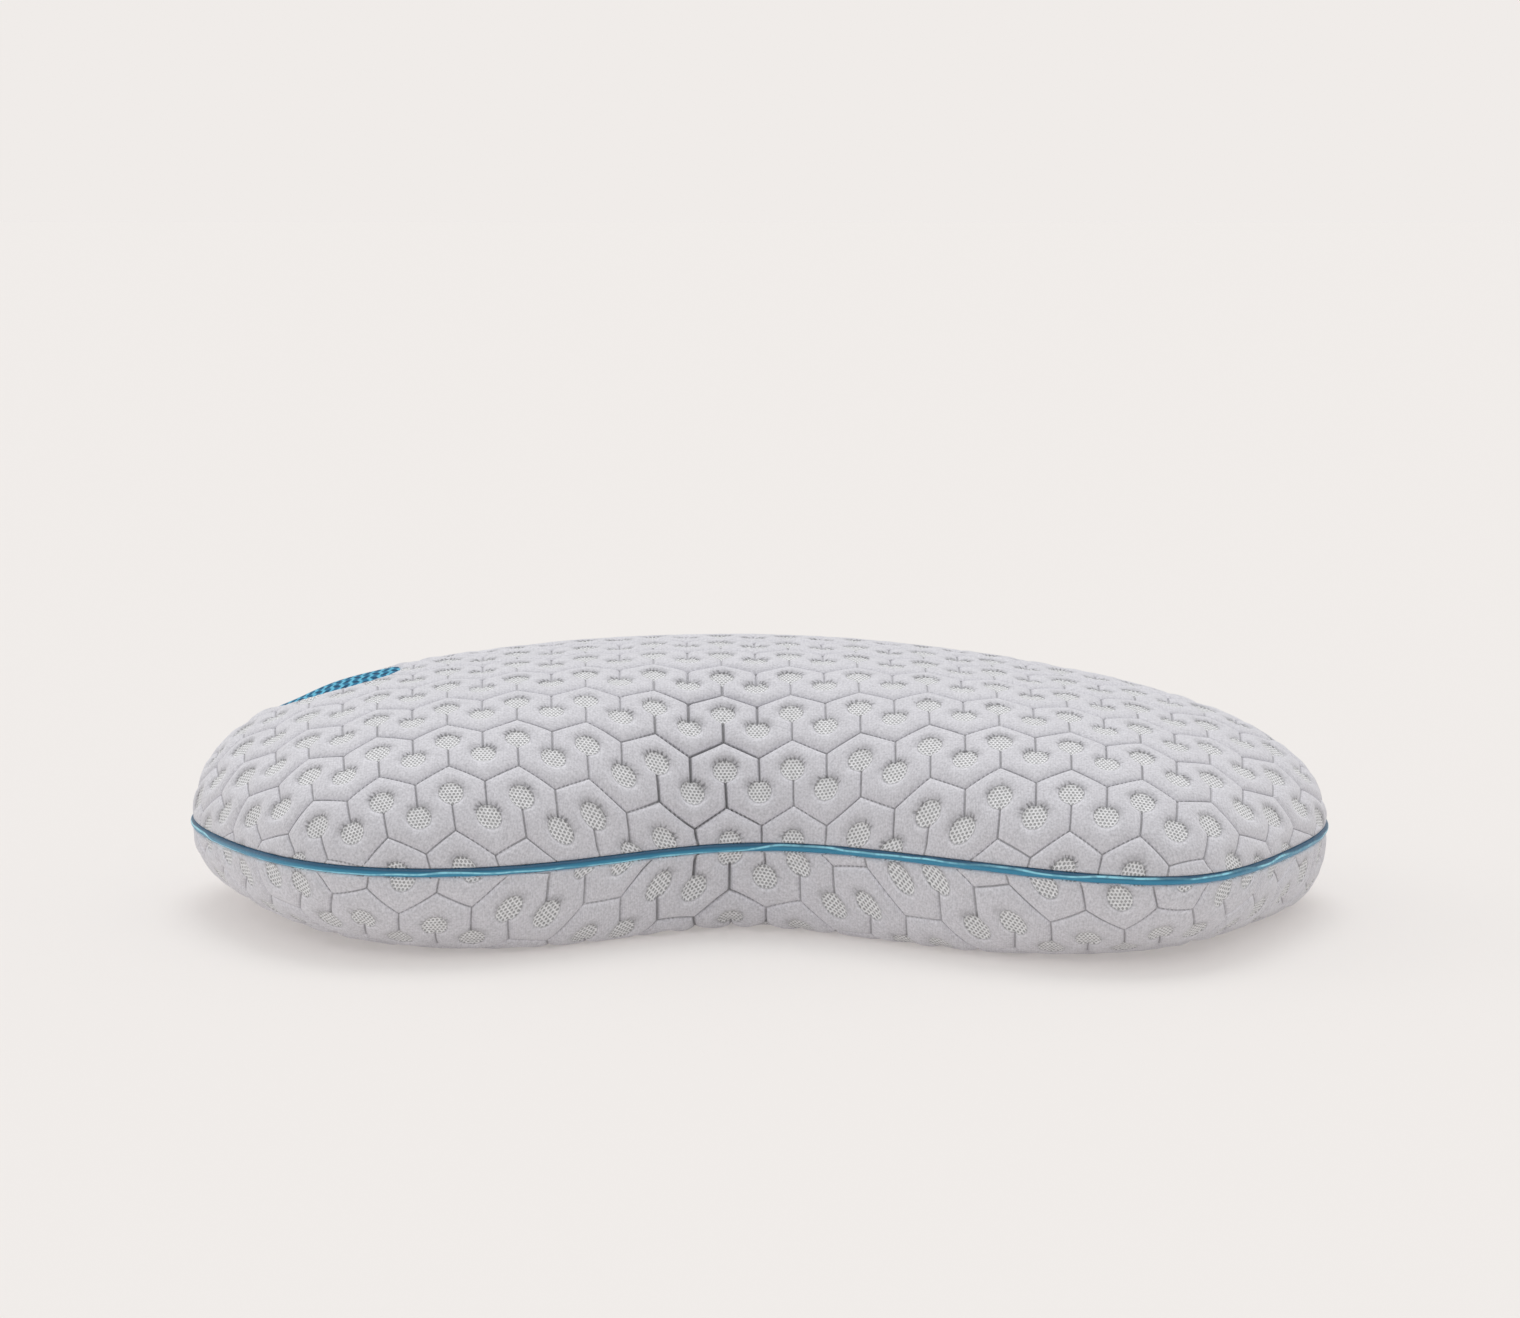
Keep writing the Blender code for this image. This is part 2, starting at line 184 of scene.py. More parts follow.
def over_top(steps):
    """Rings from the top lip of the seam up to the crown line."""
    lip = seam - seam_out * LIP_INSET
    lip_z = seam_z + LIP_RISE
    rings = []
    for share in 1 - np.linspace(0, 1, steps + 1) ** 2:
        plan = crown_line + (lip - crown_line) * share
        lift = (1 - share**OUTLINE_POWER) ** (1 / CROWN_POWER)
        height = lip_z + (crown_height(plan[:, 0]) - lip_z) * lift - pulled_down(plan)
        rings.append(np.column_stack([plan, height]))
    return np.array(rings)


def under_side(steps):
    """Rings from the bottom lip of the seam down to the flat underside."""
    rings = []
    for angle in np.linspace(0, math.pi / 2, steps + 1):
        draw = tuck * (1 - math.cos(angle) ** (2 / UNDER_POWER))
        plan = seam - outward * draw[:, None] - seam_out * LIP_INSET
        height = (seam_z - LIP_RISE) * (1 - math.sin(angle) ** (2 / UNDER_POWER))
        rings.append(np.column_stack([plan, height]))
    rings[-1][:, 2] = 0
    return rings


TOP_STEPS = 140
UNDER_STEPS = 70
REST_STEPS = 24
top_form = Form(over_top(TOP_STEPS), crown_line, 1)
side_rings = under_side(UNDER_STEPS)
rest_edge = side_rings[-1]
rest_middle = np.column_stack([crown_line, np.zeros(STATIONS)])
rest_rings = [
    rest_edge + (rest_middle - rest_edge) * (step / REST_STEPS) for step in range(1, REST_STEPS + 1)
]
under_form = Form(np.array(side_rings + rest_rings), crown_line, -1)

# Quilted cover: a velvety knit with a wadding behind it, sewn through in rows of zigzag lines with
# a round of open mesh knitted between each pair. A top and a bottom panel are cut from it, drawn
# over the core and sewn to each other at the piping. Both lie on the flat cloth's own repeat.
COLUMN = 0.0392
ROW = 0.0437
ZIGZAG_RISE = 0.01245
ROUND_DROP = 0.0211
ROUND_RADIUS = 0.0070
SLOPE = math.cos(math.atan(2 * ZIGZAG_RISE / COLUMN))
# How a panel lies on the core. start is the place of its first valley. The rows tilt, bow, lean and
# turn up along x, fan out towards +x, and gather by a share at the notch, within gather_width of
# gather_x. The columns tilt, swing with y, spread by a share and flare towards both ends.
Lay = namedtuple(
    "Lay",
    "start tilt bow lean upturn fan gather gather_x gather_width column_tilt swing spread flare",
    defaults=(0, 0, 0, 0, 0, 0, 0, 1, 0, 0, 0, 0),
)
TOP_LAY = Lay(
    start=(-0.0225, -0.0339),
    tilt=0.021,
    bow=0.70,
    lean=0.64,
    upturn=5.96,
    fan=0.256,
    gather=0.066,
    gather_x=-0.005,
    gather_width=0.037,
    column_tilt=0.050,
    swing=0.358,
    spread=0.0125,
    flare=0.362,
)
UNDER_LAY = Lay(start=(-0.0125, 0.0123))
CLOSING_STEPS = 16


class Panel:
    """A panel of the cover: the form that it is drawn over, its lay and its up direction."""

    def __init__(self, form, lay, up):
        self.form, self.lay, self.up = form, lay, up

    def place(self, column, rise):
        """From the repeat to the flat cloth. rise is in metres up the rows."""
        lay = self.lay
        x = lay.start[0] + column * COLUMN
        gathered = lay.gather * np.exp(-(((x - lay.gather_x) / lay.gather_width) ** 2))
        y = lay.start[1] + self.up * rise * (1 + lay.fan * x - gathered)
        y = y + lay.tilt * x - lay.bow * x**2 + lay.lean * x**3 + lay.upturn * x**4
        x = x * (1 + lay.spread + lay.flare * x**2)
        return x - (lay.column_tilt - lay.swing * x) * y, y

    def repeat(self, x, y):
        """From the flat cloth to the repeat's column and row, closing in on the place."""
        column, rise = (x - self.lay.start[0]) / COLUMN, self.up * (y - self.lay.start[1])
        for _ in range(CLOSING_STEPS):
            at_x, at_y = self.place(column, rise)
            column = column + (x - at_x) / COLUMN
            rise = rise + self.up * (y - at_y)
        return column, rise / ROW


def around_zero(value, period):
    return (value + period / 2) % period - period / 2


def soft_step(value, start, end):
    t = np.clip((value - start) / (end - start), 0, 1)
    return t * t * (3 - 2 * t)


def stitched(column, row):
    """Distance from the nearest sewn line, and from the rim of the nearest round."""
    rise = row * ROW
    from_peak = np.abs(column - np.round(column))
    crease = np.abs(around_zero(rise - ZIGZAG_RISE * (1 - 2 * from_peak), ROW)) * SLOPE
    distances = [crease]
    rounds = []
    for across, centre, side in (
        (from_peak * COLUMN, ZIGZAG_RISE - ROUND_DROP, -1),
        ((0.5 - from_peak) * COLUMN, ROUND_DROP, 1),
    ):
        off = rise - centre
        rounds.append(np.hypot(across, around_zero(off, ROW)) - ROUND_RADIUS)
        along = (side * off) % ROW
        beyond = np.maximum(ROUND_RADIUS - along, along - (ROW - ROUND_DROP))
        distances.append(np.hypot(across, np.maximum(beyond, 0)))
    return np.minimum.reduce(distances), np.minimum(*rounds)


# The cloth puffs up between the stitches. A sewn line is a narrow cut in a wide hollow, and a round
# is a steep step in a wide dish. Where a line meets a round, a share of the shallower is added.
PUFF_HEIGHT = 0.0010
CUT_DEPTH, CUT_WIDTH = 0.0012, 0.0009
HOLLOW_DEPTH, HOLLOW_WIDTH = 0.0019, 0.0042
STEP_DEPTH, STEP_SPAN = 0.0010, (-0.0014, 0.0010)
DISH_DEPTH, DISH_SPAN = 0.0011, (-0.001, 0.0065)
SHALLOWER_SHARE = 0.35


def relief(column, row, gathered):
    """Height of the quilted cloth above the core's form. gathered deepens it where cloth bunches."""
    line, rim = stitched(column, row)
    groove = CUT_DEPTH * np.exp(-line / CUT_WIDTH) + HOLLOW_DEPTH * np.exp(-line / HOLLOW_WIDTH)
    sunk = STEP_DEPTH * (1 - soft_step(rim, *STEP_SPAN)) + DISH_DEPTH * (1 - soft_step(rim, *DISH_SPAN))
    depth = np.maximum(groove, sunk) + SHALLOWER_SHARE * np.minimum(groove, sunk)
    return PUFF_HEIGHT - depth * (1 + gathered)


def cut_lines(shares, reach):
    """Lines of a panel's grid, in repeats: the shares of each repeat, for reach repeats both ways."""
    return np.array([n + share for n in range(-reach, reach) for share in shares])


def mirrored(shares):
    """Shares of half a repeat, mirrored to fill the repeat without its end."""
    return list(shares) + [1 - share for share in shares[-2:0:-1]]


# The grid of a panel stops EDGE_FREE inside its rim. The quilting fades in from the rim over FADE.
EDGE_FREE = 0.0011
FADE = 0.0045


def lay_panel(bm, panel, columns, rows, station_layer):
    """A panel on the flat cloth: a grid along its repeat, cut to the panel's rim and joined to it."""
    form = panel.form
    grid = bmesh.ops.create_grid(bm, x_segments=len(columns) - 1, y_segments=len(rows) - 1, size=1)
    outside = []
    for vert in grid["verts"]:
        column = columns[round((vert.co.x + 1) / 2 * (len(columns) - 1))]
        row = rows[round((vert.co.y + 1) / 2 * (len(rows) - 1))]
        zig = ZIGZAG_RISE * (1 - 2 * abs(column - round(column)))
        x, y = panel.place(column, row * ROW + zig)
        vert.co = (x, y, 0)
        if form.from_edge(x, y) < EDGE_FREE:
            outside.append(vert)
    bmesh.ops.delete(bm, geom=outside, context="VERTS")
    kept = [vert for vert in grid["verts"] if vert.is_valid]
    loose = [vert for vert in kept if not vert.link_faces]
    bmesh.ops.delete(bm, geom=loose, context="VERTS")
    kept = [vert for vert in kept if vert.is_valid]
    ring = bmesh.ops.create_circle(bm, segments=STATIONS, radius=1)["verts"]
    for station, vert in enumerate(ring):
        vert.co = (*form.rim[station], 0)
        vert[station_layer] = station
    open_edges = {edge for vert in kept for edge in vert.link_edges if len(edge.link_faces) == 1}
    open_edges |= {edge for vert in ring for edge in vert.link_edges}
    open_edges = list(open_edges)
    bmesh.ops.triangle_fill(bm, use_beauty=True, use_dissolve=False, edges=open_edges, normal=(0, 0, 1))
    return kept, ring


# The mesh panel is let into the top panel, so its place is needed here already. The cloth dips under
# it by PATCH_BED, over the span BED_RIM outside its outline. It is plain as far out as PLAIN_FROM,
# and its quilting comes back over the next PATCH_CLEARANCE.
PATCH_CENTRE = (-0.253, 0.013)
PATCH_SIZE = (0.076, 0.092)
PATCH_TURN = math.radians(12)
PATCH_CORNER = 0.037
PATCH_BED = 0.0026
BED_RIM = (0.0002, 0.0022)
PLAIN_FROM = 0.002
PATCH_CLEARANCE = 0.0052


def patch_margin(x, y):
    """Distance outside the mesh panel's outline on the flat cloth, negative inside it."""
    c, s = math.cos(PATCH_TURN), math.sin(PATCH_TURN)
    x, y = x - PATCH_CENTRE[0], y - PATCH_CENTRE[1]
    across = np.abs(x * c + y * s) - (PATCH_SIZE[0] / 2 - PATCH_CORNER)
    deep = np.abs(y * c - x * s) - (PATCH_SIZE[1] / 2 - PATCH_CORNER)
    corner = np.hypot(np.maximum(across, 0), np.maximum(deep, 0))
    return corner + np.minimum(np.maximum(across, deep), 0) - PATCH_CORNER


# The cloth bunches at the notch, which deepens its relief there, and it is a little uneven all over.
BUNCH_DEPTH = 0.9
BUNCH_X = -0.018
BUNCH_WIDTH = 0.03
BUNCH_FRONT = 0.05
UNEVEN_HEIGHT = 0.0004
UNEVEN_SCALE = 45


def draw_over(panel, verts, uv_layer, settle):
    """Draws a flat panel over its form, with its relief, and notes its place in the repeat."""
    places = np.array([vert.co[:2] for vert in verts])
    column, row = panel.repeat(places[:, 0], places[:, 1])
    edge = np.array([panel.form.edge.find((x, y, 0))[2] for x, y in places])
    point, out = panel.form.wrap(places)
    gathered = BUNCH_DEPTH * np.exp(-(((point[:, 0] - BUNCH_X) / BUNCH_WIDTH) ** 2))
    gathered = gathered * soft_step(-point[:, 1], 0.0, BUNCH_FRONT)
    height = relief(column, row, gathered) * soft_step(edge, -0.0005, FADE)
    unevenness = np.array([noise.noise(co * UNEVEN_SCALE) for co in map(Vector, point)])
    height += UNEVEN_HEIGHT * unevenness * soft_step(edge, 0.0, 2 * FADE)
    final = point + out * settle(places, point, height)[:, None]
    for vert, co, u, v in zip(verts, final, column, row):
        vert.co = co
        for loop in vert.link_loops:
            loop[uv_layer].uv = (u, v)


def bedded(places, point, height):
    """The top panel is plain beside the mesh panel, and dips under it to the depth of its bed."""
    margin = patch_margin(places[:, 0], places[:, 1])
    plain = 1 - soft_step(margin, PLAIN_FROM, PLAIN_FROM + PATCH_CLEARANCE)
    dip = PATCH_BED * (1 - soft_step(margin, *BED_RIM))
    return height * (1 - plain) - dip


# The bottom panel is pressed flat below PRESSED_BELOW: what stands above PRESSED_PUFF is flattened,
# and what lies deeper keeps a share of its depth.
PRESSED_BELOW = 0.004
PRESSED_PUFF = 0.0006
PRESSED_SHARE = 0.6


def pressed_flat(places, point, height):
    """The cloth that lies on the surface is pressed flat, and only its stitches stay clear."""
    pressed = 1 - soft_step(point[:, 2], 0.0, PRESSED_BELOW)
    return height * (1 - pressed) + np.minimum(height - PRESSED_PUFF, 0) * PRESSED_SHARE * pressed


top_panel = Panel(top_form, TOP_LAY, 1)
bottom_panel = Panel(under_form, UNDER_LAY, -1)
# The grid is finest along the sewn lines.
COLUMN_SHARES = mirrored(
    [0, 0.02, 0.05, 0.09, 0.135, 0.18, 0.215, 0.25, 0.285, 0.32, 0.365, 0.41, 0.45, 0.48, 0.5]
)
ROW_SHARES = mirrored(
    [0, 0.018, 0.042, 0.08, 0.125, 0.17, 0.215, 0.26, 0.305, 0.35, 0.395, 0.44, 0.48, 0.5]
)
COLUMN_REACH = 11
ROW_REACH = 8

cloth = bmesh.new()
station_layer = cloth.verts.layers.int.new("station")
uv_layer = cloth.loops.layers.uv.new("repeat")
columns = cut_lines(COLUMN_SHARES, COLUMN_REACH)
rows = cut_lines(ROW_SHARES, ROW_REACH)
top_verts, top_rim = lay_panel(cloth, top_panel, columns, rows, station_layer)
draw_over(top_panel, top_verts + top_rim, uv_layer, bedded)
bottom_verts, bottom_rim = lay_panel(cloth, bottom_panel, columns, rows, station_layer)
draw_over(bottom_panel, bottom_verts + bottom_rim, uv_layer, pressed_flat)

# The panels' turned edges: the top panel rolls in over the piping, round behind it and out again.
PIPING_RADIUS = 0.0022
PIPING_INSET = 0.0009
TURNED_RADIUS = PIPING_RADIUS + 0.0003
TURNED_ANGLES = (108, 135, 180, 225, 252)
routes = [
    beside_seam(TURNED_RADIUS * math.cos(angle) - PIPING_INSET, TURNED_RADIUS * math.sin(angle))
    for angle in map(math.radians, TURNED_ANGLES)
]
routes.append([vert.co.copy() for vert in bottom_rim])
edge_loop = list({edge for vert in top_rim for edge in vert.link_edges if edge.is_boundary})
for route in routes:
    made = bmesh.ops.extrude_edge_only(cloth, edges=edge_loop)["geom"]
    for item in made:
        if isinstance(item, bmesh.types.BMVert):
            item.co = route[item[station_layer]]
    edge_loop = [item for item in made if isinstance(item, bmesh.types.BMEdge) and item.is_boundary]
last_ring = list({vert for edge in edge_loop for vert in edge.verts})
bmesh.ops.remove_doubles(cloth, verts=last_ring + bottom_rim, dist=1e-6)
bmesh.ops.recalc_face_normals(cloth, faces=cloth.faces)


def finished(bm, name):
    """Turns a bmesh into a smooth object of the scene."""
    for face in bm.faces:
        face.smooth = True
    mesh = bpy.data.meshes.new(name)
    bm.to_mesh(mesh)
    bm.free()
    made = bpy.data.objects.new(name, mesh)
    bpy.context.scene.collection.objects.link(made)
    return made


cover = finished(cloth, "quilted_cover")


class Value:
    """An output of a shader node. Sums on it add their Math nodes."""

    def __init__(self, finish, socket):
        self.finish, self.socket = finish, socket

    def maths(self, operation, *others):
        return self.finish.node("Math", {"operation": operation}, dict(enumerate((self, *others))))

    def __add__(self, other):
        return self.maths("ADD", other)

    def __sub__(self, other):
        return self.maths("SUBTRACT", other)

    def __rsub__(self, other):
        return self.finish.node("Math", {"operation": "SUBTRACT"}, {0: other, 1: self})

    def __mul__(self, other):
        return self.maths("MULTIPLY", other)

    def __truediv__(self, other):
        return self.maths("DIVIDE", other)

    def __abs__(self):
        return self.maths("ABSOLUTE")

    __radd__ = __add__
    __rmul__ = __mul__


class Finish:
    """A procedural material, and the one way to add a node to it."""

    def __init__(self, name, constants):
        self.material = bpy.data.materials.new(name)
        self.material.use_nodes = True
        self.tree = self.material.node_tree
        self.shader = self.tree.nodes["Principled BSDF"]
        for socket, value in constants.items():
            self.shader.inputs[socket].default_value = value

    def node(self, kind, settings, inputs, output=0):
        """A new node: its kind, its settings, which are set first, then its sockets' values or links."""
        made = self.tree.nodes.new("ShaderNode" + kind)
        for name, value in settings.items():
            setattr(made, name, value)
        for name, value in inputs.items():
            if isinstance(value, Value):
                self.tree.links.new(value.socket, made.inputs[name])
            else:
                made.inputs[name].default_value = value
        return Value(self, made.outputs[output])

    def parts(self, vector):
        """The three parts of a vector."""
        split = self.node("SeparateXYZ", {}, {0: vector}).socket.node
        return [Value(self, part) for part in split.outputs]

    def feed(self, socket, value):
        self.tree.links.new(value.socket, self.shader.inputs[socket])

    def ramp(self, value, start, end, low=0.0, high=1.0):
        """Smoothly from low to high as value goes from start to end."""
        return self.node(
            "MapRange",
            {"interpolation_type": "SMOOTHSTEP"},
            {"Value": value, "From Min": start, "From Max": end, "To Min": low, "To Max": high},
        )

    def noise(self, vector, scale, detail=2.0):
        return self.node("TexNoise", {}, {"Vector": vector, "Scale": scale, "Detail": detail})

    def tint(self, colour, factor):
        """A colour made darker or lighter by a factor."""
        return self.node("VectorMath", {"operation": "SCALE"}, {0: colour, "Scale": factor})

    def between(self, factor, first, second):
        """From the first colour to the second as factor goes from 0 to 1."""
        colours = [(*colour, 1) if isinstance(colour, tuple) else colour for colour in (first, second)]
        return self.node(
            "Mix", {"data_type": "RGBA"}, {"Factor": factor, 6: colours[0], 7: colours[1]}, 2
        )

    def bump(self, height):
        """Fine relief, with its height in metres."""
        self.feed("Normal", self.node("Bump", {}, {"Strength": 1.0, "Distance": 1.0, "Height": height}))


KNIT_COLOUR = (0.672, 0.664, 0.702)
ROUND_COLOUR = (0.85, 0.85, 0.865)
knit = Finish("velvety_knit", {"Roughness": 0.92, "Sheen Weight": 0.30, "Sheen Roughness": 0.45})
column, row, _ = knit.parts(knit.node("UVMap", {"uv_map": "repeat"}, {}))
objects = knit.node("TexCoord", {}, {}, 3)
across_cloth, up_cloth = column * COLUMN, row * ROW
from_peak = column.maths("PINGPONG", 0.5)
above = (up_cloth + from_peak * (2 * ZIGZAG_RISE) - ZIGZAG_RISE).maths("WRAP", ROW / 2, -ROW / 2) * SLOPE
zigzag = abs(above)
measures = []
for across, centre, side in (
    (from_peak * COLUMN, ZIGZAG_RISE - ROUND_DROP, -1),
    ((0.5 - from_peak) * COLUMN, ROUND_DROP, 1),
):
    off = up_cloth - centre
    up = off.maths("WRAP", ROW / 2, -ROW / 2)
    reach = (across * across + up * up).maths("SQRT") - ROUND_RADIUS
    along = (off * side).maths("FLOORED_MODULO", ROW)
    past = (ROUND_RADIUS - along).maths("MAXIMUM", along - (ROW - ROUND_DROP)).maths("MAXIMUM", 0)
    measures.append((up, across, reach, (across * across + past * past).maths("SQRT")))
(peak_up, peak_across, peak_rim, peak_stem), (valley_up, valley_across, valley_rim, valley_stem) = measures
nearer = valley_rim.maths("LESS_THAN", peak_rim)
rim_up = peak_up + (valley_up - peak_up) * nearer
rim_across = peak_across + (valley_across - peak_across) * nearer
rim = peak_rim.maths("MINIMUM", valley_rim)
stem = peak_stem.maths("MINIMUM", valley_stem)
inside = knit.ramp(rim, -0.0005, 0.0002, 1, 0)

# Open mesh of the rounds: white threads round small six-sided holes, darkened with painted shade.
HOLE_PITCH = 0.00225
wave = math.tau * 2 / (math.sqrt(3) * HOLE_PITCH)
lattice = (up_cloth * wave).maths("COSINE")
for lean in (-0.5, 0.5):
    lattice = lattice + (across_cloth * (wave * math.sqrt(0.75)) + up_cloth * (wave * lean)).maths("COSINE")
hole = knit.ramp(lattice, -0.1, 0.9) * inside

# Stitch lines: thin lines of painted shade in the sewn creases, broken into single stitches in places,
# with a painted highlight on the edge below them. The painted shade is fainter at both ends and low on
# the sides, and wider and darker in the notch. The stems are fainter on the crown too.
STITCH_PITCH = 0.0024
NOTCH_X = -0.028
patches = knit.noise(objects, 26.0)
stitches = knit.ramp((across_cloth * (math.tau / STITCH_PITCH)).maths("SINE"), -0.5, 0.3)
broken = knit.ramp(patches, 0.44, 0.54) * (1 - stitches) * 0.7
at_x, at_y, at_z = knit.parts(objects)
faint = (1 - knit.ramp(abs(at_x), 0.20, 0.32) * 0.40) * (1 - knit.ramp(at_z, 0.015, 0.05, 1, 0) * 0.35)
notch = knit.ramp(abs(at_x - NOTCH_X), 0.018, 0.045, 1, 0) * knit.ramp(at_y, -0.06, -0.03, 1, 0)
wider = 1 + notch * 0.5
zigzag_shade = knit.ramp(zigzag / wider, 0.00015, 0.00065, 1, 0) * (1 - broken) * (0.42 + notch * 0.20)
stem_shade = knit.ramp(stem / wider, 0.0002, 0.0008, 1, 0) * (0.44 + notch * 0.22)
stem_shade = stem_shade * knit.ramp(at_z, 0.10, 0.14, 1, 0.6)
# The darkening of the stitch lines is painted shade in the sewn creases.
sewn = zigzag_shade.maths("MAXIMUM", stem_shade) * (1 - inside) * faint
# Painted highlight on the edge below each zigzag line.
painted_highlight_edge = knit.ramp(above, -0.0022, -0.0008) * knit.ramp(above, -0.0008, -0.0002, 1, 0)

# Gathers: short tucks in the knit above each round, uneven and here and there missing, darkened with
# painted shade, in a soft painted shade along its upper rim. A painted highlight lights the lip below the
# round.
GATHERS = 19
wander = knit.noise(objects, 120.0)
angle = rim_up.maths("ARCTAN2", rim_across) * GATHERS + wander * 14
reach_up = 0.0009 + wander * 0.0034
tucks = knit.ramp(angle.maths("SINE"), 0.0, 0.8) * knit.ramp(rim / reach_up, 0.2, 1.0, 1, 0)
upper = knit.ramp(rim_up, -0.0005, 0.0035)
uneven = knit.ramp(knit.noise(objects, 210.0), 0.40, 0.60, 0.10, 1)
uneven = uneven * knit.ramp(knit.noise(objects, 38.0), 0.34, 0.58, 0.2, 1)
cloudy_rim = knit.ramp(knit.noise(objects, 90.0), 0.35, 0.65)
tucks = tucks * knit.ramp(rim, -0.0007, 0.0001) * upper * faint * faint * uneven
rim_shade = knit.ramp(rim, 0.0, 0.0050, 1, 0) * knit.ramp(rim, -0.0022, -0.0004) * upper
rim_shade = rim_shade * (0.5 + cloudy_rim)
rim_line = knit.ramp(abs(rim), 0.0001, 0.0006, 1, 0) * faint
# Painted highlight on the lip below each round.
lip = knit.ramp(rim, 0.0002, 0.0009) * knit.ramp(rim, 0.0009, 0.0024, 1, 0)
lip = lip * knit.ramp(rim_up, -0.006, -0.002, 1, 0)

# The knit itself: fine ribs and a short pile, a little cloudy, with all of the above laid on it.
KNIT_PITCH = 0.0009
ribs = (across_cloth * (math.tau / KNIT_PITCH)).maths("SINE")
cloudy = knit.noise(objects, 14.0)
pile = knit.noise(objects, 760.0, 3.0)
# The base colour carries painted shade in the creases, tucks, upper rims and holes, and painted highlights
# on the edges below the lines and the lips below the rounds.
shade = (1 - sewn) * (1 - tucks * 0.48) * (1 - rim_shade * 0.15) * (1 - rim_line * 0.22) * (1 - hole * 0.50)
shade = shade * (1 + painted_highlight_edge * 0.11 + lip * 0.12)
shade = shade * (0.97 + cloudy * 0.06) * (0.61 + pile * 0.78) * (1 + ribs * 0.045)
knit.feed("Base Color", knit.tint(knit.between(inside, KNIT_COLOUR, ROUND_COLOUR), shade))
height = ribs * 0.00004 * (1 - inside) + pile * 0.00018
knit.bump(height - hole * 0.0006 - tucks * 0.0005 - sewn * 0.0009)
cover.data.materials.append(knit.material)
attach(cover, "root")
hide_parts("pillow_body")

# Piping: a strip of blue satin, cut on the bias and folded round a cord, caught in the seam. The
# strip is laid out as a narrow grid, rolled round the cord and closed where its ends meet.
PIPING_SIDES = 14
WRINKLE_SHARE = 0.10
WRINKLE_SCALE = 90
WRINKLE_TWIST = 25
WRINKLE_GIRTH = 0.8
SWAY_HEIGHT = 0.0003
SWAY_SCALE = 14
SATIN_COLOUR = (0.022, 0.25, 0.42)
SATIN_PAINTED_SHADE = (0.003, 0.080, 0.165)
SATIN_PAINTED_HIGHLIGHT = (0.33, 0.78, 0.92)
TWILL_PITCH = 0.0009
strip = bmesh.new()
strip_uv = strip.loops.layers.uv.new("strip")
grid = bmesh.ops.create_grid(strip, x_segments=STATIONS, y_segments=PIPING_SIDES, size=1)
seam_steps = np.linalg.norm(np.diff(np.vstack([seam, seam[:1]]), axis=0), axis=1)
seam_length = np.concatenate([[0], np.cumsum(seam_steps)])
for vert in grid["verts"]:
    station = round((vert.co.x + 1) / 2 * STATIONS)
    angle = (vert.co.y + 1) / 2 * math.tau
    length = seam_length[station]
    for loop in vert.link_loops:
        loop[strip_uv].uv = (length, angle * PIPING_RADIUS)
    sideways, upwards = math.cos(angle), math.sin(angle)
    twisted = sideways * WRINKLE_GIRTH + length * WRINKLE_TWIST
    wrinkle = noise.noise((length * WRINKLE_SCALE, twisted, upwards * WRINKLE_GIRTH))
    radius = PIPING_RADIUS * (1 + WRINKLE_SHARE * wrinkle)
    sway = noise.noise((length * SWAY_SCALE, 3.0, 0.0)) * SWAY_HEIGHT
    spot = station % STATIONS
    x, y = seam[spot] + seam_out[spot] * (radius * sideways - PIPING_INSET)
    vert.co = (x, y, seam_z[spot] + radius * upwards + sway)
bmesh.ops.remove_doubles(strip, verts=strip.verts, dist=1e-5)
bmesh.ops.recalc_face_normals(strip, faces=strip.faces)
piping = finished(strip, "satin_piping")

# The satin is darker on the cord's upper side, with painted shade. Where the strip would shine as it
# turns to the light, a pale painted highlight lies in a streak that wanders round the cord.
satin = Finish("blue_satin", {"Roughness": 0.34, "Specular IOR Level": 0.6})
length, girth, _ = satin.parts(satin.node("UVMap", {"uv_map": "strip"}, {}))
around = girth * (1 / PIPING_RADIUS)
top_side = around.maths("SINE")
objects = satin.node("TexCoord", {}, {}, 3)
twist = satin.noise(objects, 11.0)
folds = satin.noise(objects, 260.0)
painted_highlight_at = satin.ramp(twist, 0.40, 0.60, -0.75, 0.65)
painted_highlight = satin.ramp(abs(top_side - painted_highlight_at), 0.08, 0.36, 1, 0) * satin.ramp(folds, 0.30, 0.60, 0.55, 1)
painted_highlight = painted_highlight * satin.ramp(satin.noise(objects, 30.0), 0.36, 0.54, 0.25, 1)
# Painted shade on the cord's upper side, and a painted highlight in the streak.
body = satin.between(satin.ramp(top_side, -0.2, 0.7), SATIN_COLOUR, SATIN_PAINTED_SHADE)
satin.feed("Base Color", satin.between(painted_highlight, body, SATIN_PAINTED_HIGHLIGHT))
twill = ((length + girth) * (math.tau / TWILL_PITCH)).maths("SINE")
satin.bump(twill * 0.00002 + folds * 0.0004)
piping.data.materials.append(satin.material)
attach(piping, "root")
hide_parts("piping")

# Mesh panel: a plain round-cornered piece of blue spacer mesh let into the left end of the top
# panel. It is stretched over the crown, a little below the quilted cloth, and sewn down along its
# edge, which turns under.
PATCH_THICKNESS = 0.001
PATCH_EDGE = 0.0022
PATCH_SINK = 0.0010
PATCH_EDGE_SINK = 0.0003
PATCH_CELLS = (72, 95)
RIB_COLOUR = (0.130, 0.500, 0.700)
HOLLOW_SHADE_COLOUR = (0.010, 0.150, 0.290)
OPENING_SHADE_COLOUR = (0.002, 0.055, 0.125)
mesh_cloth = bmesh.new()
patch_uv = mesh_cloth.loops.layers.uv.new("weave")
grid = bmesh.ops.create_grid(mesh_cloth, x_segments=PATCH_CELLS[0], y_segments=PATCH_CELLS[1], size=1)
straight = Vector((PATCH_SIZE[0] / 2 - PATCH_CORNER, PATCH_SIZE[1] / 2 - PATCH_CORNER))
spots = []
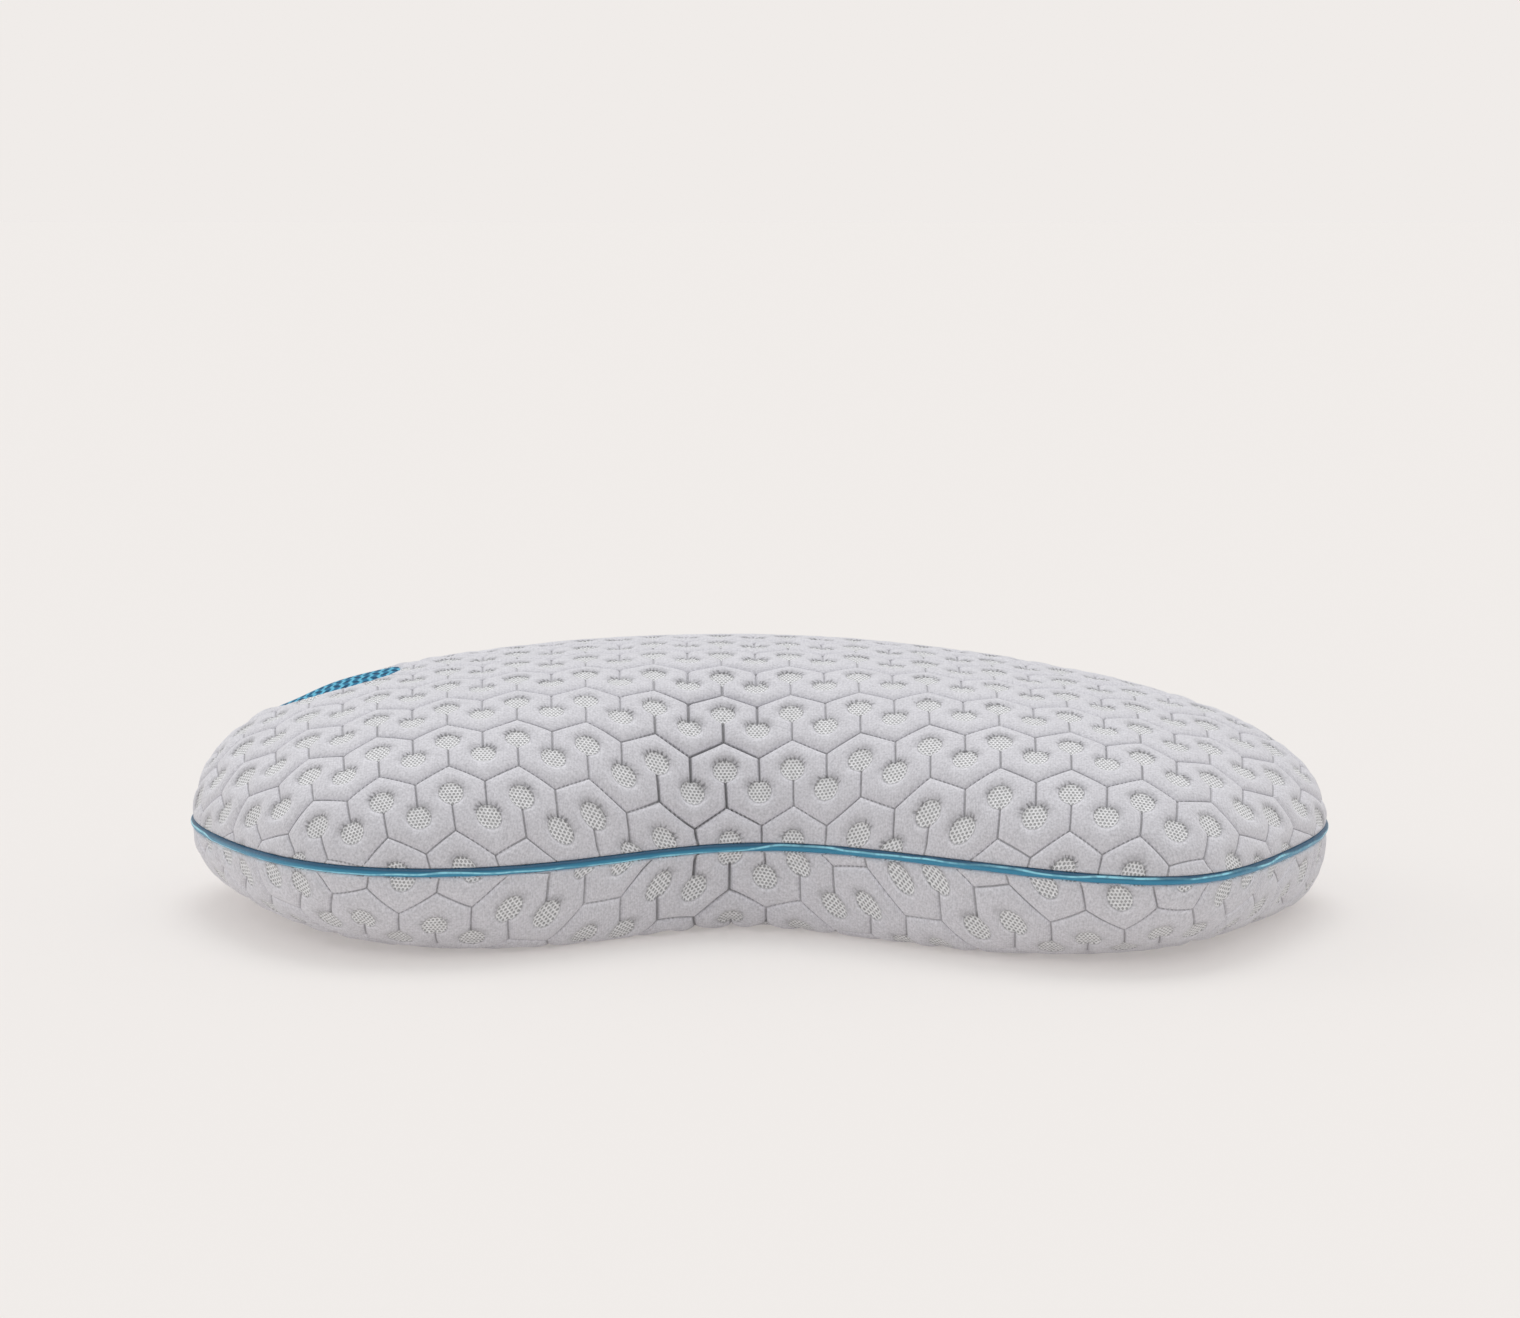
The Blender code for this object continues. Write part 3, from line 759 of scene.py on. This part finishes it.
for vert in grid["verts"]:
    local = Vector((vert.co.x * PATCH_SIZE[0] / 2, vert.co.y * PATCH_SIZE[1] / 2))
    over = Vector((max(abs(local.x) - straight.x, 0), max(abs(local.y) - straight.y, 0)))
    if over.x > 0 and over.y > 0:
        over *= max(over.x, over.y) / over.length
        corner = straight + over
        local = Vector((math.copysign(corner.x, local.x), math.copysign(corner.y, local.y)))
    for loop in vert.link_loops:
        loop[patch_uv].uv = local
    spots.append(Matrix.Rotation(PATCH_TURN, 2) @ local + Vector(PATCH_CENTRE))
spots = np.array([tuple(spot) for spot in spots])
point, out = top_form.wrap(spots)
at_edge = 1 - soft_step(-patch_margin(spots[:, 0], spots[:, 1]), 0, PATCH_EDGE)
lift = -PATCH_SINK - PATCH_EDGE_SINK * at_edge
for vert, place in zip(grid["verts"], point + out * lift[:, None]):
    vert.co = place
patch = finished(mesh_cloth, "mesh_panel")
thickness = patch.modifiers.new("thickness", "SOLIDIFY")
thickness.thickness = PATCH_THICKNESS
thickness.offset = -1

# The spacer mesh's ribs run front to back in a slight zigzag, and openings lie in the hollows
# between them. The hollows and openings are darkened with painted shade.
spacer = Finish("blue_spacer_mesh", {"Roughness": 0.7, "Specular IOR Level": 0.15})
warp, weft, _ = spacer.parts(spacer.node("UVMap", {"uv_map": "weave"}, {}))
RIB_PITCH = 0.0056
OPENING_PITCH = 0.0160
along_ribs = weft * (math.tau / OPENING_PITCH)
across_ribs = (warp - weft * 0.12) * (math.tau / RIB_PITCH) + along_ribs.maths("SINE") * 0.9
twist = (across_ribs * 2 + along_ribs * 5).maths("SINE")
pulled = spacer.noise(spacer.node("TexCoord", {}, {}, 3), 240.0)
rib = spacer.ramp(across_ribs.maths("COSINE") + twist * 0.30 + (pulled - 0.5) * 1.6, -0.30, 1.00)
staggered = (across_ribs * 0.5).maths("SINE") * along_ribs.maths("COSINE")
opening = spacer.ramp(staggered + twist * 0.05, 0.00, 0.60) * (1 - rib)
# Painted shade in the hollows between the ribs and in the openings.
woven = spacer.between(rib, HOLLOW_SHADE_COLOUR, RIB_COLOUR)
spacer.feed("Base Color", spacer.between(opening, woven, OPENING_SHADE_COLOUR))
spacer.bump(rib * 0.0004 - opening * 0.0005 + twist * 0.00004)
patch.data.materials.append(spacer.material)
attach(patch, "root")
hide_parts("mesh_patch")

# Studio: a plain pale paper floor that runs on into a backdrop of the same colour. A soft light from
# above and a little behind casts the shadows, a broad one beside it and a weak one from the left
# fill them, and the room is evenly lit.
FLOOR_REACH = 40
PAPER = (0.8289, 0.7979, 0.7751, 1)
BACKDROP = (0.871, 0.838, 0.815, 1)
ROOM_LIGHT = 0.60
ground = bmesh.new()
bmesh.ops.create_grid(ground, x_segments=1, y_segments=1, size=FLOOR_REACH)
floor = finished(ground, "floor")
paper = Finish("pale_paper", {"Base Color": PAPER, "Roughness": 1.0, "Specular IOR Level": 0.0})
floor.data.materials.append(paper.material)

# The room lights with plain white, and shows the backdrop's colour behind the floor.
world = bpy.data.worlds.new("studio")
bpy.context.scene.world = world
world.use_nodes = True
air = world.node_tree
background = air.nodes["Background"]
background.inputs["Color"].default_value = (1.0, 1.0, 1.0, 1)
background.inputs["Strength"].default_value = ROOM_LIGHT
shown = air.nodes.new("ShaderNodeBackground")
shown.inputs["Color"].default_value = BACKDROP
path = air.nodes.new("ShaderNodeLightPath")
mix = air.nodes.new("ShaderNodeMixShader")
air.links.new(path.outputs["Is Camera Ray"], mix.inputs[0])
air.links.new(background.outputs[0], mix.inputs[1])
air.links.new(shown.outputs[0], mix.inputs[2])
air.links.new(mix.outputs[0], air.nodes["World Output"].inputs["Surface"])


def sun(name, towards, strength, spread, casts):
    """A soft light from far away, in the direction towards. casts says if it casts shadows."""
    lamp = bpy.data.lights.new(name, "SUN")
    lamp.use_shadow = casts
    lamp.energy = strength
    lamp.angle = math.radians(spread)
    lamp_object = bpy.data.objects.new(name, lamp)
    lamp_object.rotation_mode = "QUATERNION"
    lamp_object.rotation_quaternion = Vector(towards).to_track_quat("Z", "Y")
    bpy.context.scene.collection.objects.link(lamp_object)


sun("overhead", (0.0, 0.35, 1.0), 0.45, 35, casts=True)
sun("overhead_fill", (0.10, 0.25, 1.0), 0.95, 60, casts=False)
sun("left", (-1.0, 0.30, 0.20), 0.40, 60, casts=False)

view_settings = bpy.context.scene.view_settings
view_settings.view_transform = "Standard"
view_settings.look = "None"

# Camera: a long lens a little right of the middle, looking down by less than ten degrees.
YAW, RISE, TILT = (math.radians(degrees) for degrees in (2.14, 9.74, -2.18))
DISTANCE = 2.1
PIVOT = Vector((0, 0, 0.06))
back = Vector((math.sin(YAW) * math.cos(RISE), -math.cos(YAW) * math.cos(RISE), math.sin(RISE)))
look = RISE + TILT
ahead = Vector((-math.sin(YAW) * math.cos(look), math.cos(YAW) * math.cos(look), -math.sin(look)))
camera = bpy.data.cameras.new("camera")
camera.lens = 84.42
camera.sensor_width = 36
camera_object = bpy.data.objects.new("camera", camera)
camera_object.location = PIVOT + back * DISTANCE
camera_object.rotation_mode = "QUATERNION"
camera_object.rotation_quaternion = ahead.to_track_quat("-Z", "Y")
bpy.context.scene.collection.objects.link(camera_object)
bpy.context.scene.camera = camera_object
